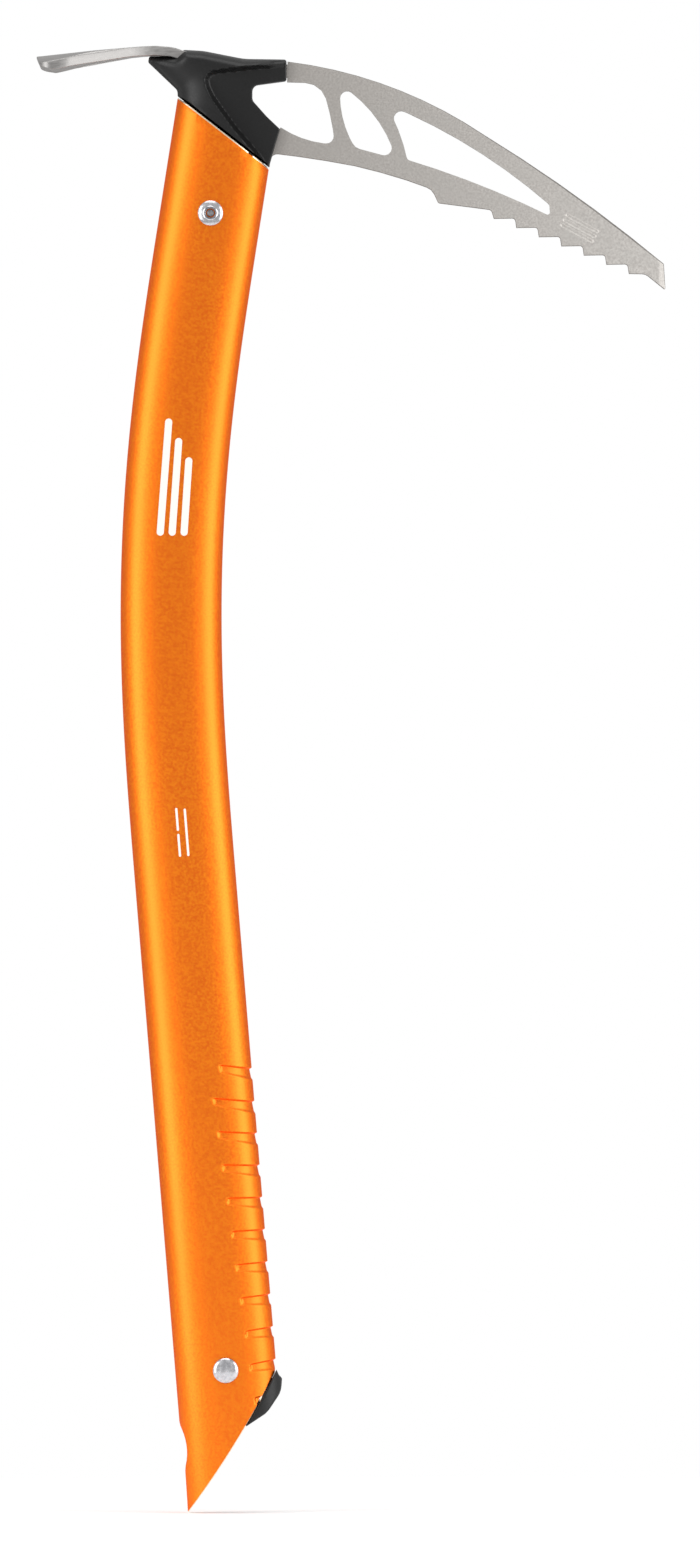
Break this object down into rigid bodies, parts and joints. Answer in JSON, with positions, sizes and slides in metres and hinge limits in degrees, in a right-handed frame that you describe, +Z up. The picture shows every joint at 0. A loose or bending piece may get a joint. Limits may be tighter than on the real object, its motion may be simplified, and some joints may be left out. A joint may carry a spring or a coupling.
{
  "type": "ice axe",
  "caption": "Compact mountaineering axe: bent oval tube shaft with a grooved grip, toothed steel pick with windows, flared adze, moulded head cover and slanted hollow spike.",
  "frame": {"origin": "level with the spike's tip, halfway between the pick's tip and the adze's edge, in the middle plane of the blade", "axes": "+Z up along the axe from spike to head, +X the way the pick points, +Y to the left of a user who holds the pick forwards"},
  "size_m": [0.194, 0.0455, 0.4525],
  "materials": {
    "orange_anodised": "satin orange anodising",
    "laser_cut_steel": "blasted, matte",
    "stainless_sheet": "satin",
    "rivet_steel": "bright",
    "rivet_core": "dull",
    "black_nylon": "fine satin moulding"
  },
  "bodies": {
    "root": {"shaft_tube": "orange_anodised", "pick_blade": "laser_cut_steel", "adze_blade": "stainless_sheet", "adze_rivet_front": "rivet_steel", "adze_rivet_rear": "rivet_steel", "head_cover_left": "black_nylon", "head_cover_right": "black_nylon", "head_rivet_body": "rivet_steel", "head_rivet_mandrel": "rivet_core", "foot_plug": "black_nylon", "foot_rivet": "rivet_steel"}
  },
  "joints": []
}
